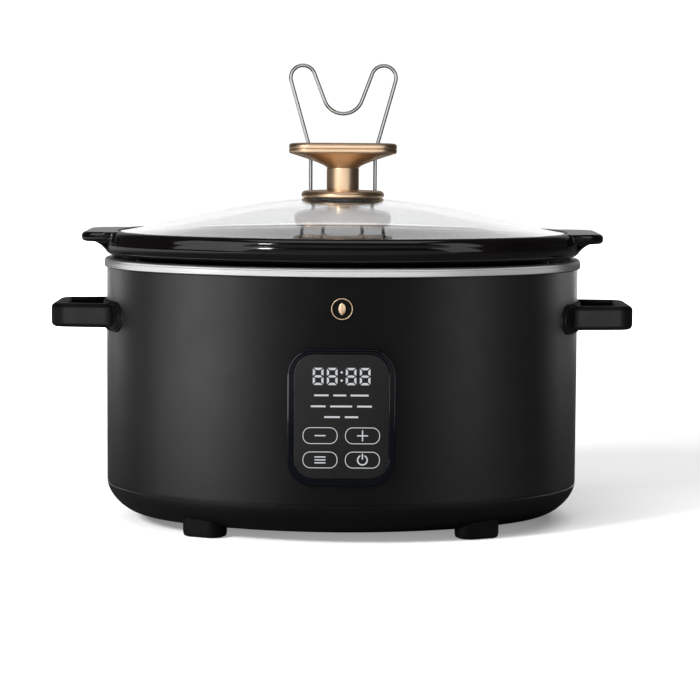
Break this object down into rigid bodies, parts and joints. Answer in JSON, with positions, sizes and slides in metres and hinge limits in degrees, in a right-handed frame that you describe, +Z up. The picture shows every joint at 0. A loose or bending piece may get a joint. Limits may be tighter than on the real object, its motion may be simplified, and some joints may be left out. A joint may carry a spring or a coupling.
{
  "type": "slow cooker",
  "caption": "Oval electric slow cooker with side loop handles, touch panel, lift-out glazed crock, domed glass lid, metal knob and folding wire rest.",
  "frame": {"origin": "centre of the base, on the plane of the four feet", "axes": "+Z up, +X to the right along the long axis of the oval, the control panel faces -Y"},
  "size_m": [0.4184, 0.2624, 0.3313],
  "materials": {
    "painted_shell": "satin black powder coat",
    "brushed_rim": "brushed, horizontal grain",
    "base_plastic": "matte black moulding",
    "cover_plate": "grey-black sheet",
    "foot_rubber": "matte",
    "handle_plastic": "fine matte",
    "zinc_screw": "zinc plated",
    "well_metal": "satin sheet",
    "heater": "rolled band",
    "fibre": "glass-fibre wrap",
    "sensor_body": "smooth",
    "fuse_body": "satin",
    "panel_gloss": "mirror gloss black",
    "panel_print": "white print",
    "circuit_board": "solder mask",
    "spring_metal": "plated",
    "inner_plastic": "matte",
    "gold_trim": "satin champagne gold",
    "relay_case": "moulded",
    "capacitor_case": "dipped",
    "lead_sleeve": "silicone sleeve",
    "ribbon": "flat cable",
    "stoneware": "glossy black-brown glaze",
    "lid_clear": "clear tempered glass",
    "knob_gold": "satin champagne gold",
    "seal_rubber": "silicone",
    "wire_chrome": "bright chrome"
  },
  "bodies": {
    "base": {"outer_shell": "painted_shell", "rim_ring": "brushed_rim", "base_ring": "base_plastic", "bottom_cover": "cover_plate", "foot_front_left": "foot_rubber", "foot_front_right": "foot_rubber", "foot_rear_left": "foot_rubber", "foot_rear_right": "foot_rubber", "foot_screws": "zinc_screw", "bottom_screws": "zinc_screw", "handle_left": "handle_plastic", "handle_right": "handle_plastic", "handle_base_left": "handle_plastic", "handle_base_right": "handle_plastic", "handle_screws": "zinc_screw", "heating_well": "well_metal", "heating_band": "heater", "insulation_wrap": "fibre", "heat_shield": "well_metal", "temperature_sensor": "sensor_body", "thermal_fuse": "fuse_body", "control_bezel": "panel_gloss", "control_lens": "panel_gloss", "display_digits": "panel_print", "touch_icons": "panel_print", "display_module": "sensor_body", "control_board": "circuit_board", "touch_springs": "spring_metal", "control_back_cover": "inner_plastic", "emblem": "gold_trim", "cord_gland": "inner_plastic", "power_board": "circuit_board", "board_standoffs": "spring_metal", "power_relay": "relay_case", "filter_capacitor": "capacitor_case", "terminal_block": "relay_case", "heater_leads": "lead_sleeve", "control_ribbon": "ribbon"},
    "crock": {"stoneware_crock": "stoneware"},
    "lid": {"lid_glass": "lid_clear", "knob_top": "knob_gold", "knob_body": "knob_gold", "knob_flange": "knob_gold", "knob_gasket": "seal_rubber", "rest_bracket": "wire_chrome", "knob_washer": "zinc_screw", "knob_screw": "zinc_screw"},
    "wire": {"wire_rest": "wire_chrome"}
  },
  "joints": [
    {"name": "crock_lift", "type": "slide", "parent": "base", "child": "crock", "axis": [0, 0, 1], "range_m": [0, 0.18]},
    {"name": "lid_lift", "type": "slide", "parent": "crock", "child": "lid", "axis": [0, 0, 1], "range_m": [0, 0.12]},
    {"name": "rest_fold", "type": "hinge", "parent": "lid", "child": "wire", "pos_m": [0, 0.031, 0.2359], "axis": [-1, 0, 0], "range_deg": [0, 90]}
  ]
}
